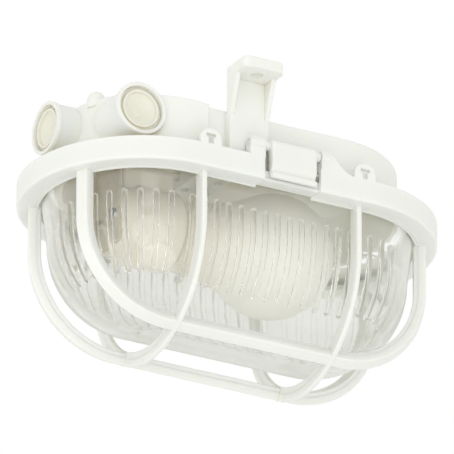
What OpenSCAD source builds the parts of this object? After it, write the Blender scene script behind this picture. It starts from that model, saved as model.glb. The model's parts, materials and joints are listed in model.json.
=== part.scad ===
// Oval bulkhead light for a wall or ceiling, with a ribbed glass bowl behind a moulded wire-style guard.
// Frame: +X along the oval, +Z towards the ceiling, z = 0 on the face that the two feet rest on,
// and the side with the catch and the visible foot is -Y. All sizes are in millimetres.

/* [Guard ring] */

// overall length of the guard ring
ring_length = 210; // [180:1:240]
// overall width of the guard ring
ring_width = 118.6; // [100:0.1:140]
// upper edge of the ring, measured from the mounting face
ring_top = -45; // [-60:0.5:-35]
// height of the ring's outer wall
ring_height = 11.5; // [8:0.5:20]
// thickness of the ring's outer wall
ring_wall = 2.2; // [1.5:0.1:4]
// thickness of the ring's front plate
plate_thickness = 1.8; // [1.2:0.1:4]
// width of the front plate, from the outer wall's face to the opening
plate_width = 10.4; // [6:0.1:16]

/* [Guard bars] */

// distance of the two cross bars from the middle of the length
cross_bar_x = 41.5; // [30:0.5:50]
// thickness of a cross bar, along X
cross_bar_thickness = 2.5; // [2:0.1:5]
// depth of a cross bar, away from the glass
cross_bar_depth = 4.8; // [3:0.1:8]
// distance of the two long bars from the middle of the width
long_bar_y = 24.9; // [15:0.1:35]
// width of a long bar
long_bar_width = 6.2; // [3:0.1:10]
// depth of a long bar, away from the glass
long_bar_depth = 5; // [3:0.1:8]
// lean of a long bar, so that its broad face looks away from the oval's middle
long_bar_lean = 26; // [0:1:40]
// height of the centres of the bars' arcs
bar_centre_z = -79.3; // [-90:0.1:-70]

/* [Glass bowl] */

// outer radius of the bowl's round bottom
glass_radius = 45; // [40:0.5:50]
// wall thickness of the glass
glass_wall = 3; // [2:0.1:4]
// height of the centre of the bowl's round bottom
glass_centre_z = -75; // [-85:0.5:-65]
// number of ribs on each straight side of the bowl
side_ribs = 14; // [8:1:20]
// number of rib steps in the half circle at each end of the bowl
end_steps = 18; // [12:1:30]
// radius of a rib's round back
rib_radius = 1.5; // [1:0.1:2.5]
// height where the ribs begin
rib_top = -66; // [-72:0.5:-60]
// angle below the horizontal at which the ribs of the straight sides end
side_rib_sweep = 42; // [20:1:80]
// angle below the horizontal at which the ribs of the round ends end
end_rib_sweep = 38; // [20:1:80]

/* [Base housing] */

// outer radius of the housing's round ends
base_radius = 49; // [44:0.5:54]
// half of the straight part of the housing's sides
base_half = 35.7; // [25:0.1:45]
// height of the housing's flat back
base_back_z = -20.6; // [-30:0.1:-10]
// wall thickness of the housing
base_wall = 2.2; // [1.6:0.1:4]
// outer radius of a cable entry tube
entry_radius = 12.3; // [10:0.1:16]
// height of the axis of the cable entry at the end
end_entry_z = -25.7; // [-30:0.1:-20]
// height of the axis of the cable entry in the side
side_entry_z = -28.1; // [-34:0.1:-24]
// position of the foot and its screw hole along X, from the middle
foot_x = 17.9; // [10:0.1:30]
// distance of the near screw hole from the middle line
foot_hole_y = 60.8; // [56:0.1:64]
// distance of the far screw hole from the middle line, so that its screw passes the guard's ring
far_hole_y = 62.5; // [62:0.1:64]
// radius of a screw hole
foot_hole_radius = 3; // [2:0.1:4]

/* [Lamp and holder] */

// height of the lamp's axis
lamp_z = -66; // [-75:0.5:-60]
// inner radius of the threaded shell
shell_radius = 13.3; // [13:0.05:14]
// radius of the lamp's round bulb
bulb_radius = 30; // [20:0.5:32]
// position of the middle of the bulb along X
bulb_x = 22.5; // [10:0.5:30]

/* [Hidden] */

ring_radius = ring_width / 2;
ring_half = ring_length / 2 - ring_radius;
ring_bottom = ring_top - ring_height;
plate_top = ring_bottom + plate_thickness;
opening_radius = ring_radius - plate_width;
ring_inner = ring_radius - ring_wall;

flange_radius = ring_inner - 0.3;
flange_top = ring_top - 1.7;
flange_bottom = flange_top - 3;
gasket_thickness = 2.4;
glass_flange_top = flange_bottom - gasket_thickness;
glass_flange_radius = ring_inner - 0.5;
glass_inner = glass_radius - glass_wall;

cross_bar_radius = opening_radius + cross_bar_depth / 2 - 0.1;
long_bar_leg_x = ring_half + sqrt(pow(opening_radius + 2.3, 2) - pow(long_bar_y, 2));
long_bar_radius = 44;
long_bar_half = long_bar_leg_x - long_bar_radius;
long_bar_centre_z = bar_centre_z - 0.3;

// the left end of the housing carries the cable entries: its wall stands a little proud there,
// and its back rises towards the end
proud_x = -38;
proud_radius = base_radius + 1.7;
back_rise = 0.1155;
back_thickness = 2.4;
inner_back_z = base_back_z - back_thickness;
end_mouth_x = -98;
side_mouth_y = -46.5;
side_entry_x = -71.6;
dome_radius = 4.4;
entry_bore = 11.3;
entry_seat = 9.3;

foot_width = 21;
foot_front_y = 69;
foot_back_y = 51;
foot_thickness = 5.4;
foot_corner = 2.6;
web_front_y = 53.5;

hinge_y = 60.5;
hinge_z = -40.5;
hinge_x = 41.5;
knuckle_width = 6;
knuckle_radius = 3.4;
hinge_ear = 3.2;
pin_radius = 1.5;
pin_clearance = 0.06;

lever_low = -9.4;
lever_high = 14.2;
catch_gap_low = -12.5;
catch_gap_high = 17.4;
catch_notch_y = -54;
nose_low = -5;
nose_high = 10;
pivot_y = -56.8;
pivot_z = -38.5;
trunnion_radius = 1.8;
trunnion_clearance = 0.05;
cheek_top = -35.7;

shell_back_x = -56;
shell_front_x = -33;
holder_back_x = -63;
holder_front_x = -32;

// the lamp's cap ends on the holder's spring, and its neck stands just clear of the holder's rim
lamp_cap_back_x = -51;
lamp_tip_x = -53.8;
neck_x = -30.5;
neck_radius = 16.5;

bracket_screw_x = [-59, -49.5];
wire_y = 6.5;
wire_radius = 1.2;
wire_z = inner_back_z - 9;
wire_drop_x = -58.7;

block_x = -14;
block_y = 0;

// the two round ends of an oval, at either end of its straight part
module oval_ends(half) {
    translate([half, 0, 0]) rotate([0, 0, -90]) rotate_extrude(angle = 180) children();
    translate([-half, 0, 0]) rotate([0, 0, 90]) rotate_extrude(angle = 180) children();
}

// the straight part of an oval, on both sides
module oval_sides(half) {
    rotate([90, 0, 90]) linear_extrude(2 * half, center = true) {
        children();
        mirror([1, 0]) children();
    }
}

// an oval body with a plain rectangular profile
module oval_plate(half, low_r, high_r, low_z, high_z) {
    oval_ends(half) translate([low_r, low_z]) square([high_r - low_r, high_z - low_z]);
    oval_sides(half) translate([low_r, low_z]) square([high_r - low_r, high_z - low_z]);
}

// a profile drawn along Y and Z, carried from one X to another
module along_x(x0, x1) {
    translate([x0, 0, 0]) rotate([90, 0, 90]) linear_extrude(x1 - x0) children();
}

// a cylinder along X
module rod_x(x0, x1, y, z, r) {
    translate([x0, y, z]) rotate([0, 90, 0]) cylinder(h = x1 - x0, r = r);
}

// a rectangle with rounded corners, centred
module rounded_section(a, b, r) {
    square([a, b - 2 * r], center = true);
    square([a - 2 * r, b], center = true);
    for (i = [-1, 1], j = [-1, 1]) translate([i * (a / 2 - r), j * (b / 2 - r)]) circle(r = r);
}

// outer shape of the tub, with a rounded edge round its back
module tub_profile(radius, back_z, edge) {
    translate([0, flange_top - 1]) square([radius, back_z - edge - flange_top + 1]);
    translate([0, back_z - edge - 0.5]) square([radius - edge, edge + 0.5]);
    translate([radius - edge, back_z - edge]) circle(r = edge);
}

// everything under the sloping back of the left end, whose low end is at the given height
module under_slope(low_z) {
    along_y(-60, 60)
        polygon([[proud_x, -55], [proud_x, low_z], [-90, low_z + back_rise * (90 + proud_x)], [-90, -55]]);
}

module tub_outside() {
    oval_ends(base_half) tub_profile(base_radius, base_back_z, 1.8);
    oval_sides(base_half) tub_profile(base_radius, base_back_z, 1.8);
    intersection() {
        union() {
            oval_ends(base_half) tub_profile(proud_radius, -14.4, 3.2);
            oval_sides(base_half) tub_profile(proud_radius, -14.4, 3.2);
        }
        under_slope(base_back_z);
    }
}

// one foot with its web, drawn on the near side; the far one is the same turned half round
module foot(hole_y) {
    x0 = -foot_x - foot_width / 2;
    difference() {
        union() {
            translate([x0, -foot_front_y, -foot_thickness]) linear_extrude(foot_thickness) {
                translate([0, foot_corner])
                    square([foot_width, foot_front_y - foot_back_y - foot_corner]);
                translate([foot_corner, 0]) square([foot_width - 2 * foot_corner, 2 * foot_corner]);
                for (x = [foot_corner, foot_width - foot_corner])
                    translate([x, foot_corner]) circle(r = foot_corner);
            }
            translate([x0, -web_front_y, flange_bottom + 1])
                cube([foot_width, web_front_y - foot_back_y, -flange_bottom - 1]);
            for (side = [0, foot_width - 2.2]) {
                along_x(x0 + side, x0 + side + 2.2)
                    polygon([[-foot_back_y - 1, -3], [-foot_back_y - 1, -26], [-web_front_y, -24.6],
                        [-60.5, -foot_thickness], [-60.5, -3]]);
                translate([x0 + side, -foot_back_y - 0.2, flange_top - 1])
                    cube([2.2, foot_back_y - base_radius + 1, base_back_z - flange_top - 1]);
            }
        }
        translate([-foot_x, -hole_y, -foot_thickness - 1])
            cylinder(h = foot_thickness + 2, r = foot_hole_radius);
    }
}

// entry tube along +Z from its mouth, with the seat for its membrane
module entry_tube(length) {
    cylinder(h = length, r = entry_radius);
    cylinder(h = 2, r = entry_radius + 0.7);
}

module entry_bores(length) {
    translate([0, 0, -1]) cylinder(h = 10, r = entry_bore);
    translate([0, 0, 1]) cylinder(h = length - 3.4, r = entry_seat);
}

module at_end_entry() {
    translate([end_mouth_x, 0, end_entry_z]) rotate([0, 90, 0]) children();
}

module at_side_entry() {
    translate([side_entry_x, side_mouth_y, side_entry_z]) rotate([-90, 0, 0]) children();
}

module base_housing() {
    color("white") difference() {
        union() {
            tub_outside();
            oval_plate(ring_half, base_radius - 4, flange_radius, flange_bottom, flange_top);
            at_end_entry() entry_tube(24);
            at_side_entry() entry_tube(24);
            // small dome between the two entries
            translate([-79.8, -17, -19]) cylinder(h = 4.4, r = dome_radius);
            translate([-79.8, -17, -14.6]) sphere(r = dome_radius);
            foot(foot_hole_y);
            rotate([0, 0, 180]) foot(far_hole_y);
            // knuckles for the guard, on the far side
            for (s = [-1, 1]) {
                rod_x(s * hinge_x - knuckle_width / 2, s * hinge_x + knuckle_width / 2,
                    hinge_y, hinge_z, knuckle_radius);
                along_x(s * hinge_x - knuckle_width / 2, s * hinge_x + knuckle_width / 2)
                    polygon([[47.3, -37.2], [hinge_y, hinge_z + knuckle_radius],
                        [hinge_y, hinge_z - knuckle_radius], [47.3, -43.9]]);
            }
        }
        // the hollow for the lamp and the wiring
        oval_plate(base_half, 0, base_radius - base_wall, -60, inner_back_z);
        intersection() {
            oval_ends(base_half) translate([0, -60]) square([base_radius - base_wall, 60]);
            under_slope(inner_back_z);
        }
        at_end_entry() entry_bores(24);
        at_side_entry() entry_bores(24);
        for (s = [-1, 1])
            rod_x(s * hinge_x - 5, s * hinge_x + 5, hinge_y, hinge_z, pin_radius + pin_clearance);
        // notch in the flange for the catch and its cheeks, with the bevel that the nose snaps over
        translate([-21.2, -flange_radius - 1, flange_bottom - 1])
            cube([44.8, flange_radius + 1 + catch_notch_y, 5]);
        along_x(nose_low - 1, nose_high + 1)
            polygon([[catch_notch_y - 1, flange_top - 2.2], [catch_notch_y + 2.2, flange_top + 1],
                [catch_notch_y - 1, flange_top + 1]]);
    }
    color("white") bosses();
}

// posts inside the housing for the screws
module bosses() {
    for (x = bracket_screw_x) difference() {
        translate([x, 0, inner_back_z - 6]) cylinder(h = 7 + back_rise * (proud_x - x), r = 3.4);
        translate([x, 0, inner_back_z - 7]) cylinder(h = 7, r = 1.4);
    }
    difference() {
        translate([block_x, block_y, inner_back_z - 4]) cylinder(h = 5, r = 3.4);
        translate([block_x, block_y, inner_back_z - 5]) cylinder(h = 5, r = 1.3);
    }
}

// soft cup that closes a cable entry and is cut open for a cable, drawn from the mouth along +Z
module membrane() {
    rotate_extrude() difference() {
        union() {
            translate([0, 0.8]) square([9.5, 8]);
            translate([0, 2.4]) square([entry_bore, 6.4]);
        }
        polygon([[0, 0], [8.4, 0], [8.4, 2.2], [2.6, 5.6], [0, 5.6]]);
        translate([0, 7.2]) square([7.6, 3]);
    }
}

module end_entry_membrane() {
    color("ivory") at_end_entry() membrane();
}

module side_entry_membrane() {
    color("ivory") at_side_entry() membrane();
}

module gasket() {
    color("lightgray") oval_plate(ring_half, opening_radius + 0.6, -catch_notch_y - 0.2,
        glass_flange_top, flange_bottom);
}

// profile of the ring: outer wall, front plate and the thin lip round the opening
module ring_profile() {
    edge = 1.2;
    translate([ring_inner, ring_bottom + edge]) square([ring_wall, ring_height - edge]);
    translate([opening_radius, ring_bottom]) square([plate_width - edge, plate_thickness]);
    translate([ring_radius - edge, ring_bottom + edge]) circle(r = edge);
    translate([opening_radius, ring_bottom - 0.6]) square([1.1, 1]);
}

module cross_bar() {
    r = cross_bar_radius;
    translate([0, 0, bar_centre_z]) rotate([-90, 0, 90]) rotate_extrude(angle = 180)
        translate([r, 0]) rounded_section(cross_bar_depth, cross_bar_thickness, 0.6);
    for (s = [-1, 1])
        translate([0, s * r, bar_centre_z]) rotate([0, 0, 90])
            linear_extrude(plate_top - bar_centre_z - 0.4)
                rounded_section(cross_bar_depth, cross_bar_thickness, 0.6);
}

module long_bar(side) {
    r = long_bar_radius;
    lean = side * long_bar_lean;
    y = side * long_bar_y;
    translate([0, y, long_bar_centre_z - r]) rotate([90, 0, 90])
        linear_extrude(2 * long_bar_half, center = true)
            rotate(lean) rounded_section(long_bar_width, long_bar_depth, 0.8);
    for (end = [0, 1]) mirror([end, 0, 0]) {
        translate([long_bar_half, y, long_bar_centre_z]) rotate([-90, 0, 0])
            rotate_extrude(angle = 90)
                translate([r, 0]) rotate(lean) rounded_section(long_bar_depth, long_bar_width, 0.8);
        translate([long_bar_half + r, y, long_bar_centre_z])
            linear_extrude(plate_top - long_bar_centre_z - 0.4)
                rotate(lean) rounded_section(long_bar_depth, long_bar_width, 0.8);
    }
}

// arched tab that stands on the ring, with its T-shaped window
module ear() {
    difference() {
        along_y(-ring_radius, -ring_inner) {
            translate([-5.7, ring_top - 1]) square([11.4, 3.4]);
            intersection() {
                translate([0, ring_top + 2.3]) circle(r = 5.7);
                translate([-7, ring_top]) square([14, 7.8]);
            }
        }
        along_y(-ring_radius - 1, -ring_inner + 1) {
            translate([-2.5, ring_top + 3.5]) square([5, 1.7]);
            translate([-1.3, ring_top + 0.2]) square([2.6, 3.5]);
        }
    }
}

// a profile drawn along X and Z, carried from one Y to another
module along_y(y0, y1) {
    translate([0, y1, 0]) rotate([90, 0, 0]) linear_extrude(y1 - y0) children();
}

module guard() {
    color("white") difference() {
        union() {
            difference() {
                union() {
                    oval_ends(ring_half) ring_profile();
                    oval_sides(ring_half) ring_profile();
                }
                // gap in the near wall for the catch
                translate([catch_gap_low, -ring_radius - 1, ring_bottom - 1])
                    cube([catch_gap_high - catch_gap_low, ring_wall + 1, ring_height + 2]);
                // sloping recess under the catch
                along_x(catch_gap_low, catch_gap_high)
                    polygon([[-57.6, ring_bottom - 0.03], [-57.6, ring_bottom - 2],
                        [-47.5, ring_bottom - 2], [-47.5, ring_bottom + 1.25]]);
            }
            for (s = [-1, 1]) translate([s * cross_bar_x, 0, 0]) cross_bar();
            for (s = [-1, 1]) long_bar(s);
            for (s = [-1, 1]) translate([s * 41.4, 0, 0]) ear();
            // cheeks beside the catch
            along_x(-20.2, catch_gap_low + 0.3) cheek_profile();
            along_x(catch_gap_high + 0.5, 22.4) cheek_profile();
            along_y(-ring_radius, -ring_inner)
                polygon([[22.3, ring_top - 1], [22.3, cheek_top], [24.5, cheek_top - 1], [27.5, -40.5],
                    [31, -43.6], [34.5, ring_top], [34.5, ring_top - 1]]);
            // small tabs that keep the bowl's flange down on the front plate
            for (x = [-40, 40], t = [0, 1]) mirror([0, t, 0]) along_x(x - 4, x + 4)
                translate([ring_inner, glass_flange_top])
                    polygon([[0.5, 0.15], [-0.9, 0.15], [-0.9, 0.7], [0.5, 2]]);
            // hinge ears on the far side
            for (s = [-1, 1], t = [-1, 1]) {
                x = s * hinge_x + t * (knuckle_width / 2 + 0.4 + hinge_ear / 2);
                along_x(x - hinge_ear / 2, x + hinge_ear / 2) {
                    translate([hinge_y, hinge_z]) circle(r = 3.6);
                    polygon([[ring_inner, ring_top - 1], [ring_radius - 0.1, ring_top - 1], [63.6, -42.3],
                        [hinge_y, hinge_z], [56.95, hinge_z]]);
                }
            }
        }
        for (s = [-1, 1])
            rod_x(s * hinge_x - 8, s * hinge_x + 8, hinge_y, hinge_z, pin_radius);
        rod_x(-25, 28, pivot_y, pivot_z, trunnion_radius + trunnion_clearance);
    }
}

module cheek_profile() {
    low = ring_top - 0.8;
    translate([-ring_radius, low]) square([ring_radius + pivot_y + 2.3, pivot_z - low]);
    translate([pivot_y - 0.5, pivot_z]) circle(r = 2.8);
    translate([-ring_radius, pivot_z]) square([ring_radius + pivot_y - 0.5, cheek_top - pivot_z]);
}

module hinge_pins() {
    color("silver") for (s = [-1, 1])
        rod_x(s * hinge_x - knuckle_width / 2 - 0.4 - hinge_ear,
            s * hinge_x + knuckle_width / 2 + 0.4 + hinge_ear, hinge_y, hinge_z, pin_radius);
}

// lever with a round top on its trunnions, a groove for a finger and a lip below it
module latch_lever() {
    low = lever_low;
    high = lever_high;
    color("white") {
        along_x(low, high) {
            translate([pivot_y, pivot_z]) circle(r = 2.8);
            translate([pivot_y - 1.4, pivot_z]) circle(r = 2.8);
            translate([pivot_y - 1.4, pivot_z]) square([1.4, 2.8]);
            polygon([[-61, pivot_z], [-61, -49.5], [-59.5, -51.5], [-59.6, -52.6], [-61, -53.2],
                [-61.2, -54.7], [-60.4, -55.3], [-59, -55.2], [-57.3, -52.6], [-57.3, -50.7],
                [-56.8, -50.2], [-56.8, -42.5], [-56.4, -42.5], [-56.4, pivot_z]]);
        }
        // hook with a sloping nose
        along_x(nose_low, nose_high)
            polygon([[-57.3, -50.7], [-52.7, -46.1], [-52.7, -44.6], [-55, -42.2], [-55, -39], [-57.4, -39]]);
        rod_x(catch_gap_low + 0.5, low, pivot_y, pivot_z, 2.4);
        rod_x(-19.6, low, pivot_y, pivot_z, trunnion_radius);
        rod_x(high, catch_gap_high + 0.3, pivot_y, pivot_z, 2.4);
        rod_x(high, 21.8, pivot_y, pivot_z, trunnion_radius);
    }
}

// profile of the bowl's wall: flange, a short flaring wall and the round bottom
module glass_profile() {
    cz = glass_centre_z;
    difference() {
        union() {
            translate([0, glass_flange_top - 2.6]) square([glass_flange_radius, 2.6]);
            polygon([[0, glass_flange_top], [47.6, glass_flange_top - 1], [47.6, glass_flange_top - 3],
                [glass_radius, cz], [0, cz]]);
            intersection() {
                translate([0, cz]) circle(r = glass_radius);
                translate([0, cz - 60]) square([60, 60]);
            }
        }
        polygon([[0, glass_flange_top + 1], [44.8, glass_flange_top + 1], [44.8, glass_flange_top - 2],
            [glass_inner, cz], [0, cz]]);
        intersection() {
            translate([0, cz]) circle(r = glass_inner);
            translate([0, cz - 60]) square([60, 60]);
        }
    }
}

// one finger of pressed glass inside the bowl, on the plane y = 0, from its round top to its round end
module rib(sweep) {
    bend_z = glass_centre_z - 0.8;
    translate([glass_inner, 0, 0]) rotate_extrude() {
        translate([0, bend_z]) square([rib_radius, rib_top - bend_z]);
        translate([0, rib_top]) intersection() {
            circle(r = rib_radius);
            square(5);
        }
    }
    translate([0, 0, bend_z]) rotate([-90, 0, 0])
        rotate_extrude(angle = sweep) translate([glass_inner, 0]) circle(r = rib_radius);
    // the round end is a little fuller than the finger
    translate([glass_inner * cos(sweep), 0, bend_z - glass_inner * sin(sweep)])
        sphere(r = rib_radius + 0.15);
}

module glass_bowl() {
    color("lightcyan", 0.4) {
        oval_ends(ring_half) glass_profile();
        oval_sides(ring_half) glass_profile();
        for (end = [0, 1], i = [1 : end_steps - 1]) mirror([end, 0, 0])
            translate([ring_half, 0, 0]) rotate([0, 0, -90 + i * 180 / end_steps]) rib(end_rib_sweep);
        for (side = [-1, 1], i = [0 : side_ribs - 1])
            translate([(i - (side_ribs - 1) / 2) * 2 * ring_half / side_ribs, 0, 0])
                rotate([0, 0, side * 90]) rib(side_rib_sweep);
    }
}

// steel strip that carries the lamp holder
module holder_bracket() {
    color("silver") difference() {
        union() {
            translate([-64.5, -11, inner_back_z - 7.5]) cube([19.5, 22, 1.5]);
            translate([-64.5, -11, lamp_z - 14]) cube([1.5, 22, inner_back_z - 7.5 - lamp_z + 15]);
        }
        for (x = bracket_screw_x) translate([x, 0, -60]) cylinder(h = 40, r = 1.7);
        for (y = [-8, 8]) rod_x(-70, -60, y, lamp_z, 1.7);
        rod_x(-70, -60, 0, lamp_z, 3);
    }
}

module bracket_screws() {
    color("silver") for (x = bracket_screw_x) {
        translate([x, 0, inner_back_z - 9.4]) cylinder(h = 1.9, r = 2.8);
        translate([x, 0, inner_back_z - 7.6]) cylinder(h = 7, r = 1.35);
    }
}

module lampholder_body() {
    color("white") difference() {
        translate([holder_back_x, 0, lamp_z]) rotate([0, 90, 0]) rotate_extrude()
            polygon([[0, 0], [17, 0], [17, 10], [19.5, 12], [19.5, 30], [18.5, 31], [0, 31]]);
        rod_x(shell_back_x - 2, holder_front_x + 1, 0, lamp_z, shell_radius + 0.9);
        for (y = [-8, 8]) rod_x(-64, -60, y, lamp_z, 1.4);
        // wire holes and the pockets of the two terminals
        for (s = [-1, 1]) {
            translate([wire_drop_x, s * wire_y, -58]) cylinder(h = 12, r = 1.6);
            translate([wire_drop_x - 2.6, s * wire_y - 2.6, -61]) cube([5.2, 5.2, 5.5]);
        }
    }
}

module holder_terminals() {
    color("goldenrod") for (s = [-1, 1]) difference() {
        translate([wire_drop_x - 2.4, s * wire_y - 2.4, -60.8]) cube([4.8, 4.8, 5]);
        translate([wire_drop_x, s * wire_y, -59]) cylinder(h = 4, r = 1.4);
    }
}

module lampholder_shell() {
    color("goldenrod") difference() {
        rod_x(shell_back_x, shell_front_x, 0, lamp_z, shell_radius + 0.7);
        rod_x(shell_back_x - 1, shell_front_x + 1, 0, lamp_z, shell_radius);
    }
}

module centre_contact() {
    color("goldenrod") {
        translate([shell_back_x - 2, -2.5, lamp_z - 6]) cube([0.6, 5, 12]);
        translate([shell_back_x - 1.5, -2.5, lamp_z - 2])
            cube([lamp_tip_x - shell_back_x + 1.45, 5, 4]);
    }
}

module shell_contact() {
    color("goldenrod") translate([shell_back_x - 2, -3, lamp_z + 8])
        cube([2, 6, 4]);
}

module holder_screws() {
    color("silver") for (y = [-8, 8]) {
        rod_x(-66.3, -64.5, y, lamp_z, 2.8);
        rod_x(-64.6, -60.4, y, lamp_z, 1.35);
    }
}

// the lamp: a round frosted bulb that narrows to its neck in one sweep, closed and in one piece
module lamp_bulb() {
    // the sweep is an arc that meets both the bulb and the neck smoothly
    sweep_x = bulb_x - 50;
    sweep_radius = (2500 + neck_radius * neck_radius - bulb_radius * bulb_radius)
        / (2 * (bulb_radius - neck_radius));
    join_x = bulb_x - 50 * bulb_radius / (bulb_radius + sweep_radius);
    color("ivory") translate([0, 0, lamp_z]) rotate([0, 90, 0]) rotate_extrude() {
        intersection() {
            translate([0, bulb_x]) circle(r = bulb_radius);
            translate([0, join_x]) square([40, 60]);
        }
        translate([0, join_x - 5]) square([20, 10]);
        difference() {
            translate([0, neck_x + 1]) square([28, join_x - neck_x - 1]);
            translate([neck_radius + sweep_radius, sweep_x]) circle(r = sweep_radius);
            translate([neck_radius, neck_x]) square([20, sweep_x - neck_x]);
        }
        polygon([[0, neck_x], [neck_radius - 1, neck_x], [neck_radius, neck_x + 1.1], [0, neck_x + 1.1]]);
        translate([0, lamp_cap_back_x + 1]) square([12.4, neck_x - lamp_cap_back_x]);
    }
}

// screw cap of the lamp, a thin cup round the stem of the bulb
module lamp_cap() {
    color("silver") difference() {
        rod_x(lamp_cap_back_x, neck_x - 0.05, 0, lamp_z, 13.1);
        rod_x(lamp_cap_back_x + 0.95, neck_x + 1, 0, lamp_z, 12.45);
        rod_x(lamp_cap_back_x - 1, lamp_cap_back_x + 2, 0, lamp_z, 9.5);
    }
}

module lamp_insulator() {
    color("dimgray") difference() {
        translate([lamp_tip_x + 0.7, 0, lamp_z]) rotate([0, 90, 0])
            cylinder(h = lamp_cap_back_x + 0.95 - lamp_tip_x - 0.7, r1 = 5.6, r2 = 9.45);
        rod_x(lamp_tip_x, lamp_cap_back_x + 2, 0, lamp_z, 2.05);
    }
}

module lamp_contact() {
    color("goldenrod") {
        rod_x(lamp_tip_x, lamp_tip_x + 0.65, 0, lamp_z, 4.6);
        rod_x(lamp_tip_x + 0.4, lamp_cap_back_x + 0.9, 0, lamp_z, 2);
    }
}

module terminal_block() {
    color("ivory") difference() {
        translate([block_x - 9, block_y - 11, inner_back_z - 15]) cube([18, 22, 11]);
        translate([block_x, block_y, -60]) cylinder(h = 60, r = 1.7);
        for (y = [-6.5, 6.5]) {
            rod_x(block_x - 10, block_x + 10, block_y + y, inner_back_z - 9, 2.5);
            for (x = [-5, 5])
                translate([block_x + x, block_y + y, inner_back_z - 16]) cylinder(h = 7, r = 2.2);
        }
    }
}

module terminal_tubes() {
    color("goldenrod") for (y = [-6.5, 6.5]) difference() {
        rod_x(block_x - 8, block_x + 8, block_y + y, inner_back_z - 9, 2.5);
        rod_x(block_x - 9, block_x + 9, block_y + y, inner_back_z - 9, 1.6);
        for (x = [-5, 5])
            translate([block_x + x, block_y + y, inner_back_z - 16]) cylinder(h = 7, r = 1.2);
    }
}

module terminal_screws() {
    color("silver") for (y = [-6.5, 6.5], x = [-5, 5])
        translate([block_x + x, block_y + y, inner_back_z - 13.4]) cylinder(h = 3, r = 1.15);
}

module block_screw() {
    color("silver") {
        translate([block_x, block_y, inner_back_z - 16.8]) cylinder(h = 1.8, r = 2.8);
        translate([block_x, block_y, inner_back_z - 15.2]) cylinder(h = 14, r = 1.25);
    }
}

// wire from the terminal block along the housing and down into the lamp holder
module wire(y) {
    bend = 4;
    rod_x(wire_drop_x + bend, block_x - 2.5, y, wire_z, wire_radius);
    translate([wire_drop_x + bend, y, wire_z - bend]) rotate([90, 0, 180])
        rotate_extrude(angle = 90) translate([bend, 0]) circle(r = wire_radius);
    translate([wire_drop_x, y, -58.6]) cylinder(h = wire_z - bend + 58.6, r = wire_radius);
}

module live_wire() {
    color("brown") wire(-wire_y);
}

module neutral_wire() {
    color("steelblue") wire(wire_y);
}

base_housing();
end_entry_membrane();
side_entry_membrane();
gasket();
guard();
glass_bowl();
hinge_pins();
latch_lever();
holder_bracket();
bracket_screws();
lampholder_body();
lampholder_shell();
centre_contact();
shell_contact();
holder_terminals();
holder_screws();
lamp_bulb();
lamp_cap();
lamp_insulator();
lamp_contact();
terminal_block();
terminal_tubes();
terminal_screws();
block_screw();
live_wire();
neutral_wire();
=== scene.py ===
"""Looks of an oval bulkhead light: moulded white plastic, a ribbed glass bowl and what is inside.

The solids come from the frame and stay where they are. This script gives them their finishes,
adds the fine forms that they leave plain, and sets up the camera, the lights and the floor.
"""

import json
import math

import bpy
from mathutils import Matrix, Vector


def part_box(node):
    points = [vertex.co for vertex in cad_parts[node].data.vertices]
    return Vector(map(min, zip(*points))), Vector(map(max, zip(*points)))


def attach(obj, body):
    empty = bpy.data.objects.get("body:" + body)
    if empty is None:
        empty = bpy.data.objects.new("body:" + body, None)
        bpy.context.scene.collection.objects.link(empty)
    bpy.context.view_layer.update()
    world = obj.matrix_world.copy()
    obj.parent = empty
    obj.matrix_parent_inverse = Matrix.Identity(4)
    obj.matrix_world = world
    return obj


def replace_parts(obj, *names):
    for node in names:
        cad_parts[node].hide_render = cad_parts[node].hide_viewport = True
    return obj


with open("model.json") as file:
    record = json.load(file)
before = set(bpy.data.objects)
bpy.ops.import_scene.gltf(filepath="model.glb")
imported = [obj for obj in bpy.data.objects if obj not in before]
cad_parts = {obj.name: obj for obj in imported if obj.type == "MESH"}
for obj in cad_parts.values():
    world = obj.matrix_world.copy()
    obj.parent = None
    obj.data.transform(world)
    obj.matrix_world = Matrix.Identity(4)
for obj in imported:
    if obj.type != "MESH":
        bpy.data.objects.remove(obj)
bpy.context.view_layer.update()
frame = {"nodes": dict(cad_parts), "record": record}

MM = 0.001
HALF_TURN = math.pi
FULL_TURN = 2 * math.pi


# Shader maths


class Value:
    """One socket of a node tree. Sums and products on it add the Math nodes that they need."""

    def __init__(self, shader, socket):
        self.shader = shader
        self.socket = socket

    def _math(self, operation, *terms):
        settings = {"operation": operation}
        return self.shader.node("ShaderNodeMath", settings, dict(enumerate(terms)))[0]

    def __add__(self, other):
        return self._math("ADD", self, other)

    def __radd__(self, other):
        return self._math("ADD", other, self)

    def __sub__(self, other):
        return self._math("SUBTRACT", self, other)

    def __rsub__(self, other):
        return self._math("SUBTRACT", other, self)

    def __mul__(self, other):
        return self._math("MULTIPLY", self, other)

    def __rmul__(self, other):
        return self._math("MULTIPLY", other, self)

    def clamp(self):
        """The same value, held between 0 and 1."""
        limited = self._math("ADD", self, 0.0)
        limited.socket.node.use_clamp = True
        return limited


class Outputs:
    """The outputs of one node, by name or by number, each as a Value."""

    def __init__(self, shader, node):
        self.shader = shader
        self.bpy_node = node

    def __getitem__(self, key):
        return Value(self.shader, self.bpy_node.outputs[key])


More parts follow.
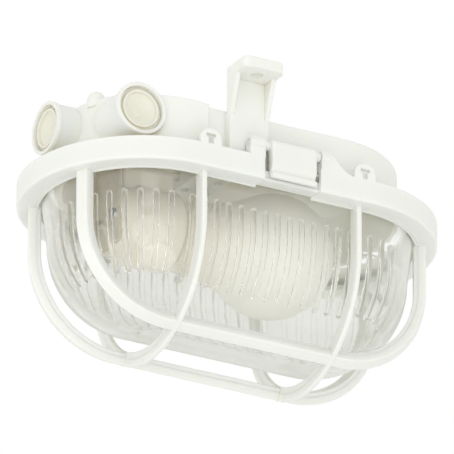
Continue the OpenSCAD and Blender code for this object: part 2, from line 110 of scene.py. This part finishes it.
class Shader:
    """A node tree of a material or of the world, with one way to add any node to it."""

    def __init__(self, owner):
        owner.use_nodes = True
        self.tree = owner.node_tree
        self.tree.nodes.clear()

    def node(self, kind, settings=None, inputs=None):
        """A new node: its own settings, and its inputs by name or number, as values or links."""
        new = self.tree.nodes.new(kind)
        for key, setting in (settings or {}).items():
            setattr(new, key, setting)
        for key, source in (inputs or {}).items():
            if isinstance(source, Value):
                self.tree.links.new(source.socket, new.inputs[key])
            else:
                new.inputs[key].default_value = source
        return Outputs(self, new)

    def place(self):
        """The place on the object, in metres."""
        return self.node("ShaderNodeTexCoord")["Object"]

    def along_x(self):
        """The place along the light's length, in metres."""
        return self.node("ShaderNodeSeparateXYZ", None, {"Vector": self.place()})["X"]

    def noise(self, scale, detail, where=None):
        sockets = {"Vector": where or self.place(), "Scale": scale, "Detail": detail}
        return self.node("ShaderNodeTexNoise", None, sockets)["Fac"]

    def mix(self, factor, low, high):
        """A colour between two, each given as three numbers or as a Value."""
        low, high = (c if isinstance(c, Value) else (*c, 1) for c in (low, high))
        sockets = {0: factor, 6: low, 7: high}
        return self.node("ShaderNodeMix", {"data_type": "RGBA"}, sockets)[2]

    def either(self, factor, low, high):
        """A blend of two shaders."""
        return self.node("ShaderNodeMixShader", None, {0: factor, 1: low, 2: high})[0]

    def soft_edges(self, radius):
        return self.node("ShaderNodeBevel", {"samples": 4}, {"Radius": radius})["Normal"]

    def bump(self, height, strength, depth, base=None):
        sockets = {"Height": height, "Strength": strength, "Distance": depth}
        if base:
            sockets["Normal"] = base
        return self.node("ShaderNodeBump", None, sockets)["Normal"]

    def surface(self, sockets):
        """A Principled shader as the material's whole surface."""
        shader = self.node("ShaderNodeBsdfPrincipled", None, sockets)
        self.node("ShaderNodeOutputMaterial", None, {"Surface": shader["BSDF"]})


def new_finish(name):
    material = bpy.data.materials.new(name)
    return material, Shader(material)


def darker(colour, share):
    return tuple(share * c for c in colour)


# Finishes

MOULDED_EDGE = 0.4 * MM
# Reach of the ambient occlusion that places the painted recess shade, in metres.
PAINTED_SHADE_REACH = 0.1
PLASTIC_GLOW = {
    "Subsurface Weight": 0.35,
    "Subsurface Radius": (1.0, 0.92, 0.75),
    "Subsurface Scale": 3 * MM,
}
OPAL_GLOW = {
    "Subsurface Weight": 0.25,
    "Subsurface Radius": (1.0, 0.95, 0.85),
    "Subsurface Scale": 4 * MM,
}


def moulded_plastic(name, light, shade, roughness, painted_recess_shade=None):
    """Satin moulded plastic with faint flow clouds and the mould's fine grain.

    Where a painted recess shade is given, that warm colour is painted into recesses left of the
    middle as shade and warm bounced light; the more closed in, the more of it.
    """
    material, s = new_finish(name)
    clouds = s.noise(scale=28, detail=4)
    grain = s.noise(scale=2600, detail=2)
    ripple = s.noise(scale=160, detail=2)
    colour = s.mix(((clouds - 0.35) * 1.6).clamp(), light, shade)
    if painted_recess_shade:
        # Painted shade: ambient occlusion marks the recesses, and left of the middle they take
        # the painted warm shade colour.
        open_side = s.node("ShaderNodeAmbientOcclusion", {"samples": 6}, {"Distance": PAINTED_SHADE_REACH})
        right_of_middle = (s.along_x() * 25).clamp()
        colour = s.mix((open_side["AO"] * 4 - 0.3 + right_of_middle).clamp(), painted_recess_shade, colour)
    relief = grain * 0.5 + ripple
    s.surface({
        "Base Color": colour,
        "Roughness": roughness + 0.12 * (clouds - 0.5) + 0.06 * (grain - 0.5),
        "Normal": s.bump(relief, 0.25, 0.06 * MM, s.soft_edges(MOULDED_EDGE)),
        "IOR": 1.46,
        **PLASTIC_GLOW,
    })
    return material


# A ray that has met this many surfaces is trapped in the glass.
TRAPPED_AFTER = 5


def clear_glass(name):
    """Pressed glass, wavy from the mould, and milky where it is seen edge on.

    It lets shadow rays and diffuse rays straight through, so that light reaches what is inside.
    """
    material, s = new_finish(name)
    wave = s.noise(scale=90, detail=1.5)
    glass = s.node("ShaderNodeBsdfPrincipled", None, {
        "Base Color": (0.94, 0.945, 0.925, 1),
        "Roughness": 0.07,
        "IOR": 1.33,
        "Coat Weight": 1.0,
        "Coat Roughness": 0.04,
        "Transmission Weight": 1.0,
        "Normal": s.bump(wave, 0.3, 0.4 * MM),
    })
    veil = s.node("ShaderNodeBsdfDiffuse", None, {"Color": (0.84, 0.85, 0.81, 1)})
    clear = s.node("ShaderNodeBsdfTransparent", None, {"Color": (0.97, 0.97, 0.96, 1)})
    edge_on = s.node("ShaderNodeLayerWeight", None, {"Blend": 0.5})["Facing"]
    ray = s.node("ShaderNodeLightPath")
    trapped = (ray["Ray Depth"] - TRAPPED_AFTER).clamp()
    haze = (0.06 + 1.8 * edge_on * edge_on * edge_on + trapped).clamp()
    lets_through = (ray["Is Shadow Ray"] + ray["Is Diffuse Ray"]).clamp()
    milky = s.either(haze, glass["BSDF"], veil["BSDF"])
    whole = s.either(lets_through, milky, clear["BSDF"])
    s.node("ShaderNodeOutputMaterial", None, {"Surface": whole})
    return material


def plated_steel(name, colour):
    """Plated sheet or wire: cloudy plating with fine rolling lines."""
    material, s = new_finish(name)
    clouds = s.noise(scale=140, detail=5)
    stretch = {"Vector": s.place(), "Scale": (60, 1800, 1800)}
    lines = s.noise(scale=1, detail=2, where=s.node("ShaderNodeMapping", None, stretch)[0])
    s.surface({
        "Base Color": s.mix(clouds, colour, darker(colour, 0.72)),
        "Metallic": 1.0,
        "Roughness": 0.28 + 0.2 * clouds + 0.08 * lines,
        "Normal": s.bump(lines, 0.15, 0.03 * MM),
    })
    return material


def brass(name, bright, tarnished):
    """Bright brass with slight tarnish in patches."""
    material, s = new_finish(name)
    tarnish = ((s.noise(scale=260, detail=4) - 0.5) * 3).clamp()
    s.surface({
        "Base Color": s.mix(tarnish, bright, tarnished),
        "Metallic": 1.0,
        "Roughness": 0.22 + 0.25 * tarnish,
    })
    return material


def glazed_ceramic(name, light, shade):
    """Glazed ceramic with tiny pores under the glaze."""
    material, s = new_finish(name)
    clouds = s.noise(scale=60, detail=3)
    pores = s.noise(scale=420, detail=2)
    s.surface({
        "Base Color": s.mix(clouds, light, shade),
        "Roughness": 0.12 + 0.1 * clouds,
        "Coat Weight": 0.6,
        "Normal": s.bump(pores, 0.12, 0.1 * MM),
    })
    return material


def frosted_bulb(name, frosted, neck_colour):
    """Opal glass of a lamp: milky all through, a little warmer towards its neck."""
    material, s = new_finish(name)
    neck = ((2 * MM - s.along_x()) * 45).clamp()
    frost = s.noise(scale=900, detail=3)
    s.surface({
        "Base Color": s.mix(neck, frosted, neck_colour),
        "Roughness": 0.32 + 0.15 * frost,
        "Normal": s.bump(frost, 0.08, 0.04 * MM),
        **OPAL_GLOW,
    })
    return material


def rubber(name, colour):
    """Soft sealing rubber, dusty and matt."""
    material, s = new_finish(name)
    dust = s.noise(scale=300, detail=5)
    s.surface({
        "Base Color": s.mix(dust, colour, darker(colour, 0.8)),
        "Roughness": 0.65 + 0.2 * dust,
        "Normal": s.bump(dust, 0.3, 0.08 * MM),
    })
    return material


# The colours come in pairs, the light one first. A third one is a warm colour painted into
# recesses as shade and warm bounced light.
WHITE = (0.86, 0.87, 0.83), (0.83, 0.84, 0.79)
WHITE_PAINTED_RECESS_SHADE = (0.78, 0.74, 0.62)
SOFT_CUP = (0.84, 0.83, 0.74), (0.8, 0.78, 0.67)
CUP_PAINTED_RECESS_SHADE = (0.86, 0.8, 0.62)
IVORY = (0.86, 0.85, 0.78), (0.8, 0.79, 0.7)
WOVEN_SLEEVE = (0.78, 0.74, 0.64), (0.7, 0.66, 0.56)
CREAM_GLAZE = (0.79, 0.74, 0.63), (0.73, 0.68, 0.57)
BLACK_GLAZE = (0.05, 0.05, 0.06), (0.03, 0.03, 0.035)
OPAL = (0.9, 0.89, 0.82), (0.78, 0.74, 0.64)
BRASS = (0.83, 0.66, 0.36), (0.55, 0.4, 0.2)
SEAL_GREY = (0.7, 0.7, 0.67)
PIN_STEEL = (0.62, 0.62, 0.62)
YELLOW_PASSIVATED = (0.86, 0.8, 0.66)
SCREW_STEEL = (0.7, 0.69, 0.66)
CAP_METAL = (0.8, 0.8, 0.78)

finishes = {
    # The housing and the entry cups get a warm shade painted into their recesses.
    "housing_plastic": moulded_plastic(
        "moulded_housing", *WHITE, roughness=0.42, painted_recess_shade=WHITE_PAINTED_RECESS_SHADE),
    "guard_plastic": moulded_plastic("moulded_guard", *WHITE, roughness=0.38),
    "entry_plastic": moulded_plastic(
        "soft_entry_cup", *SOFT_CUP, roughness=0.45, painted_recess_shade=CUP_PAINTED_RECESS_SHADE),
    "gasket_rubber": rubber("sealing_rubber", SEAL_GREY),
    "clear_glass": clear_glass("clear_pressed_glass"),
    "steel_pin": plated_steel("pin_steel", PIN_STEEL),
    "bracket_steel": plated_steel("passivated_sheet", YELLOW_PASSIVATED),
    "screw_steel": plated_steel("plated_screws", SCREW_STEEL),
    "frosted_bulb": frosted_bulb("opal_bulb", *OPAL),
    "lamp_metal": plated_steel("lamp_cap_metal", CAP_METAL),
    "black_insulator": glazed_ceramic("black_glass_insulator", *BLACK_GLAZE),
    "porcelain": glazed_ceramic("cream_glazed_porcelain", *CREAM_GLAZE),
    "brass_parts": brass("bright_brass", *BRASS),
    "block_plastic": moulded_plastic("terminal_plastic", *IVORY, roughness=0.45),
    "wire_sleeve": moulded_plastic("woven_sleeve", *WOVEN_SLEEVE, roughness=0.6),
}

slots = {entry["node"]: entry["material_slot"] for entry in frame["record"]["subparts"]}
for name, solid in frame["nodes"].items():
    for slot in solid.material_slots:
        slot.material = finishes[slots[name]]


# Meshes of the added pieces, all sizes in millimetres

SHARP_FROM = math.radians(35)


def link(thing):
    bpy.context.scene.collection.objects.link(thing)
    return thing


def add_piece(name, mesh, body, slot):
    """A new piece in a finish of the record, moving with a body."""
    mesh.validate()
    piece = link(bpy.data.objects.new(name, mesh))
    mesh.materials.append(finishes[slot])
    for face in mesh.polygons:
        face.use_smooth = True
    mesh.set_sharp_from_angle(angle=SHARP_FROM)
    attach(piece, body)
    return piece


def skin(ring_count, sides, closed_round):
    """The side faces between equal rings of points, and from the last ring to the first too."""
    faces = []
    for ring in range(ring_count if closed_round else ring_count - 1):
        start, after = ring * sides, (ring + 1) % ring_count * sides
        for i in range(sides):
            j = (i + 1) % sides
            faces.append((start + i, start + j, after + j, after + i))
    return faces


def closed_tube(rings):
    """Points and faces of a tube through equal rings of points, closed by a face at each end."""
    sides = len(rings[0])
    last = (len(rings) - 1) * sides
    points = [p * MM for ring in rings for p in ring]
    ends = [tuple(range(sides))[::-1], tuple(last + i for i in range(sides))]
    return points, ends[:1] + skin(len(rings), sides, closed_round=False) + ends[1:]


def mesh_of(name, tubes):
    """One mesh of several closed tubes."""
    points, faces = [], []
    for tube_points, tube_faces in tubes:
        start = len(points)
        points += tube_points
        faces += [tuple(start + i for i in face) for face in tube_faces]
    mesh = bpy.data.meshes.new(name)
    mesh.from_pydata(points, [], faces)
    return mesh


def arc_points(radius, start, end, count):
    """Points on an arc about the origin, with both ends of the arc among them."""
    turns = [start + (end - start) * i / count for i in range(count + 1)]
    return [(radius * math.cos(turn), radius * math.sin(turn)) for turn in turns]


# The bowl, with its flange a hair off the guard's plate, because a render can lose one of two
# faces in the same plane

FLANGE_REACH = 94
FLANGE_LIFT = 0.06
SAME_PLANE = 0.01


def lifted_bowl(solid, name):
    """A copy of the bowl's solid with the lower face of its flange raised."""
    mesh = solid.data.copy()
    mesh.name = name
    seat = min(corner.co.z for corner in mesh.vertices
               if math.hypot(corner.co.x, corner.co.y) > FLANGE_REACH * MM)
    for corner in mesh.vertices:
        if abs(corner.co.z - seat) < SAME_PLANE * MM:
            corner.co.z += FLANGE_LIFT * MM
    piece = link(bpy.data.objects.new(name, mesh))
    piece.matrix_world = solid.matrix_world
    return piece


pressed_bowl = lifted_bowl(frame["nodes"]["glass_bowl"], "pressed_bowl")
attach(pressed_bowl, "guard")
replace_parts(pressed_bowl, "glass_bowl")


# The inner edges of the guard's bars, which reach nearer to the glass than the solids do

PLATE_Z = -56.3
CROSS_X, CROSS_CENTRE_Z, CROSS_RADIUS = 41.5, -79.3, 51.2
CROSS_SIZES = {"depth": 4.8, "width": 2.5, "edge": 2.3}
LONG_X, LONG_Y, LONG_CENTRE_Z, LONG_RADIUS = 46.44, 24.9, -79.6, 44.0
LONG_SIZES = {"depth": 5.0, "width": 6.2, "edge": 1.0}
LONG_LEAN = math.radians(26)
EDGE_ROUNDING = 0.6
OVERLAP, PROUD = 1.2, 0.03
ARC_STEPS = 48
CORNER_STEPS = 6


def edge_outline(depth, width, edge):
    """Outline of a bar's inner edge: round corners towards the glass, the rest inside the bar."""
    low, high, half = -depth / 2 - edge, -depth / 2 + OVERLAP, width / 2 + PROUD
    corner = [(low + EDGE_ROUNDING * (1 - c), -half + EDGE_ROUNDING * (1 - s))
              for c, s in arc_points(1, 0, HALF_TURN / 2, CORNER_STEPS)]
    return corner[::-1] + [(s, -t) for s, t in corner] + [(high, half), (high, -half)]


def bar_edge(stations, depth, width, edge):
    """Tube along a bar. A station is a centre, the way out of the glass and the way across."""
    outline = edge_outline(depth, width, edge)
    return closed_tube([[centre + s * out + t * across for s, t in outline]
                        for centre, out, across in stations])


def down_to_plate(stations):
    """The same stations with one more at each end, straight up on the guard's front plate."""
    def foot(station):
        centre, out, across = station
        return Vector((centre.x, centre.y, PLATE_Z)), out, across

    return [foot(stations[0]), *stations, foot(stations[-1])]


def cross_stations(x):
    """Half a circle across the light."""
    middle, across = Vector((x, 0, CROSS_CENTRE_Z)), Vector((1, 0, 0))
    stations = []
    for y, z in arc_points(1, HALF_TURN, FULL_TURN, ARC_STEPS):
        out = Vector((0, y, z))
        stations.append((middle + CROSS_RADIUS * out, out, across))
    return down_to_plate(stations)


def long_stations(side):
    """A quarter circle at each end of the light, with a straight run between them."""
    lean = side * LONG_LEAN
    stations = []
    for end, start in ((-1, HALF_TURN), (1, 1.5 * HALF_TURN)):
        middle = Vector((end * LONG_X, side * LONG_Y, LONG_CENTRE_Z))
        for x, z in arc_points(1, start, start + HALF_TURN / 2, ARC_STEPS):
            outward = Vector((x, 0, z))
            out = math.cos(lean) * outward + Vector((0, math.sin(lean), 0))
            across = -math.sin(lean) * outward + Vector((0, math.cos(lean), 0))
            stations.append((middle + LONG_RADIUS * outward, out, across))
    return down_to_plate(stations)


for name, stations, sizes in (
    ("left_cross_bar_edge", cross_stations(-CROSS_X), CROSS_SIZES),
    ("right_cross_bar_edge", cross_stations(CROSS_X), CROSS_SIZES),
    ("near_long_bar_edge", long_stations(-1), LONG_SIZES),
    ("far_long_bar_edge", long_stations(1), LONG_SIZES),
):
    add_piece(name, mesh_of(name, [bar_edge(stations, **sizes)]), "guard", "guard_plastic")


# A low sill of the guard behind the catch, beside the edge of the bowl's flange

SILL_X = -12.6, 17.5
SILL_FRONT, SILL_BACK = -57.08, -56.7
SILL_LOW, SILL_TOP = -56.4, -51.3

sill_outline = [
    (SILL_FRONT, SILL_LOW), (SILL_BACK, SILL_LOW), (SILL_BACK, SILL_TOP), (SILL_FRONT, SILL_TOP)]
sill = closed_tube([[Vector((x, y, z)) for y, z in sill_outline] for x in SILL_X])
add_piece("catch_sill", mesh_of("catch_sill", [sill]), "guard", "guard_plastic")


# The threads of the lamp's cap and of the holder's shell, which turn in step

LAMP_Z = -66.0
THREAD_PITCH, THREAD_DEPTH = 3.62, 0.3
THREAD_SIDES, THREAD_STEP = 72, 0.3
CAP_BACK, CAP_FRONT = -51.0, -30.55
CAP_BACK_HOLE, CAP_BACK_EDGE, CAP_BORE, CAP_OUTSIDE = 9.5, 12.2, 12.45, 13.1
CAP_THREAD_RADIUS = CAP_OUTSIDE - THREAD_DEPTH
CAP_SHEET, CAP_THREAD_START = 0.95, 0.9
CAP_THREAD_STOP, CAP_PLAIN_START = 3.5, 3.0
SHELL_BACK, SHELL_FRONT = -56.0, -33.0
SHELL_BORE, SHELL_OUTSIDE = 13.0, 13.7
PLAIN, THREADED = 0, 1


def threaded_tube(profile):
    """Turned ring. Its profile's points are a place along X, a radius, and PLAIN or THREADED."""
    points = []
    for x, radius, threaded in profile:
        for i in range(THREAD_SIDES):
            turn = FULL_TURN * i / THREAD_SIDES
            wave = math.sin(FULL_TURN * x / THREAD_PITCH - turn)
            r = radius + threaded * THREAD_DEPTH * wave
            points.append(Vector((x, r * math.cos(turn), LAMP_Z + r * math.sin(turn))) * MM)
    return points, skin(len(profile), THREAD_SIDES, closed_round=True)


def thread_run(start, end, radius):
    count = round(abs(end - start) / THREAD_STEP)
    return [(start + (end - start) * i / count, radius, THREADED) for i in range(count + 1)]


cap_profile = [
    (CAP_BACK + CAP_SHEET, CAP_BACK_HOLE, PLAIN),
    (CAP_BACK, CAP_BACK_HOLE, PLAIN),
    (CAP_BACK, CAP_BACK_EDGE, PLAIN),
    *thread_run(CAP_BACK + CAP_THREAD_START, CAP_FRONT - CAP_THREAD_STOP, CAP_THREAD_RADIUS),
    (CAP_FRONT - CAP_PLAIN_START, CAP_OUTSIDE, PLAIN),
    (CAP_FRONT, CAP_OUTSIDE, PLAIN),
    (CAP_FRONT, CAP_BORE, PLAIN),
    (CAP_BACK + CAP_SHEET, CAP_BORE, PLAIN),
]
shell_profile = (thread_run(SHELL_BACK, SHELL_FRONT, SHELL_BORE)
                 + thread_run(SHELL_FRONT, SHELL_BACK, SHELL_OUTSIDE))

for name, node, slot, profile in (
    ("threaded_cap", "lamp_cap", "lamp_metal", cap_profile),
    ("threaded_shell", "lampholder_shell", "brass_parts", shell_profile),
):
    turned = mesh_of(name, [threaded_tube(profile)])
    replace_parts(add_piece(name, turned, "housing", slot), node)


# Screws with a slot across the head

SLOT_WIDTH, SLOT_DEPTH, TOUCH = 0.8, 0.9, 0.05
HEAD_SIDES, HALF_HEAD_STEPS, SHANK_SIDES = 32, 16, 20
ALONG_X, ALONG_Z = (1, 0, 0), (0, 0, 1)

# Each set of screws: its node, the way that they point, and their sizes.
SCREWS = (
    ("bracket_screws", ALONG_Z, {"radius": 2.8, "head": 1.9, "shank": 1.35}),
    ("holder_screws", ALONG_X, {"radius": 2.8, "head": 1.8, "shank": 1.35}),
    ("terminal_screws", ALONG_Z, {"radius": 1.15, "head": 1.6, "shank": 1.15}),
    ("block_screw", ALONG_Z, {"radius": 2.8, "head": 1.8, "shank": 1.25}),
)


def full_circle(radius, sides):
    return arc_points(radius, 0, FULL_TURN, sides)[:-1]


def prism(outline, place, along, start, end):
    """Closed prism between two depths along a screw's axis."""
    side = Vector((0, 1, 0))
    other = along.cross(side)
    return closed_tube([[place + depth * along + u * side + v * other for u, v in outline]
                        for depth in (start, end)])


def slotted_screw(place, along, length, radius, head, shank):
    """A head in two halves beside its slot, over a whole disc and the shank."""
    edge = math.asin(SLOT_WIDTH / 2 / radius)
    halves = [arc_points(radius, edge + turn, HALF_TURN - edge + turn, HALF_HEAD_STEPS)
              for turn in (0, HALF_TURN)]
    return [
        *(prism(half, place, along, 0, SLOT_DEPTH + TOUCH) for half in halves),
        prism(full_circle(radius, HEAD_SIDES), place, along, SLOT_DEPTH, head),
        prism(full_circle(shank, SHANK_SIDES), place, along, head - TOUCH, length),
    ]


def screw_places(low, high, axis, radius):
    """Where a node's screws start: one at each corner of its box, or one where corners meet."""
    places = set()
    across = [k for k in range(3) if k != axis]
    first, second = ((low[k] / MM + radius, high[k] / MM - radius) for k in across)
    for a in first:
        for b in second:
            place = [0, 0, 0]
            place[axis] = low[axis] / MM
            place[across[0]], place[across[1]] = round(a, 3), round(b, 3)
            places.add(tuple(place))
    return sorted(places)


for node, direction, sizes in SCREWS:
    low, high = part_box(node)
    axis = direction.index(1)
    length = (high[axis] - low[axis]) / MM
    screws = [part for place in screw_places(low, high, axis, sizes["radius"])
              for part in slotted_screw(Vector(place), Vector(direction), length, **sizes)]
    name = "slotted_" + node
    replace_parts(add_piece(name, mesh_of(name, screws), "housing", "screw_steel"), node)


# Camera, fitted to the photograph's angle

AZIMUTH, ELEVATION = math.radians(-29.03), math.radians(-24.45)
CAMERA_DISTANCE = 9.0
VIEW_WIDTH = 0.21415
SENSOR = 36.0
NEAREST, FARTHEST = 0.5, 30.0
MIDDLE = Vector((0, 0, -0.045))
SHIFT_LEFT, SHIFT_DOWN = 0.00014, 0.00934


def face_along(thing, place, way):
    """Put a camera or a lamp at a place, looking along a way."""
    thing.location = place
    thing.rotation_mode = "QUATERNION"
    thing.rotation_quaternion = way.to_track_quat("-Z", "Y")


towards_camera = Vector((
    math.sin(AZIMUTH) * math.cos(ELEVATION),
    -math.cos(AZIMUTH) * math.cos(ELEVATION),
    math.sin(ELEVATION),
))
right = Vector((math.cos(AZIMUTH), math.sin(AZIMUTH), 0))
down = right.cross(towards_camera).normalized()
aim = MIDDLE - SHIFT_LEFT * right + SHIFT_DOWN * down

lens = bpy.data.cameras.new("product_camera")
lens.sensor_width = SENSOR
lens.lens = SENSOR * CAMERA_DISTANCE / VIEW_WIDTH
lens.clip_start, lens.clip_end = NEAREST, FARTHEST
camera = link(bpy.data.objects.new("product_camera", lens))
face_along(camera, aim + CAMERA_DISTANCE * towards_camera, -towards_camera)
bpy.context.scene.camera = camera


# Lights: each has a place, a diameter in metres and a power in watts

LIT_POINT = Vector((0, 0, -0.06))
SOFT_BOXES = (
    ("front_box", Vector((-0.6, -1.5, -0.3)), 1.2, 2.4),
    ("low_box", Vector((-0.1, -0.8, -0.8)), 0.9, 2.0),
    ("left_box", Vector((-1.5, -0.2, -0.4)), 1.0, 2.8),
)

for name, place, diameter, power in SOFT_BOXES:
    lamp = bpy.data.lights.new(name, "AREA")
    lamp.shape = "DISK"
    lamp.size = diameter
    lamp.energy = power
    face_along(link(bpy.data.objects.new(name, lamp)), place, LIT_POINT - place)


# A world that is white where it is seen, and a little less bright as light on the object

SEEN_WHITE = {"Color": (1, 1, 1, 1), "Strength": 1.0}
ROOM_LIGHT = {"Color": (1, 1, 0.98, 1), "Strength": 0.87}

world = bpy.data.worlds.new("studio")
bpy.context.scene.world = world
s = Shader(world)
ray = s.node("ShaderNodeLightPath")
seen = (ray["Is Camera Ray"] + ray["Is Glossy Ray"] + ray["Is Transmission Ray"]).clamp()
ambient = s.node("ShaderNodeBackground", None, ROOM_LIGHT)[0]
backdrop = s.node("ShaderNodeBackground", None, SEEN_WHITE)[0]
s.node("ShaderNodeOutputWorld", None, {"Surface": s.either(seen, ambient, backdrop)})


# A pale round floor under the light

FLOOR_RADIUS, FLOOR_Z, FLOOR_SIDES = 1.1, -0.9, 72
PALE_GREY = (0.9, 0.9, 0.9, 1)

floor_mesh = bpy.data.meshes.new("floor")
rim = [(x, y, FLOOR_Z) for x, y in full_circle(FLOOR_RADIUS, FLOOR_SIDES)]
floor_mesh.from_pydata(rim, [], [tuple(range(FLOOR_SIDES))])
floor = link(bpy.data.objects.new("floor", floor_mesh))
material, s = new_finish("pale_floor")
s.surface({"Base Color": PALE_GREY, "Roughness": 0.8})
floor.data.materials.append(material)

bpy.context.scene.view_settings.view_transform = "Standard"
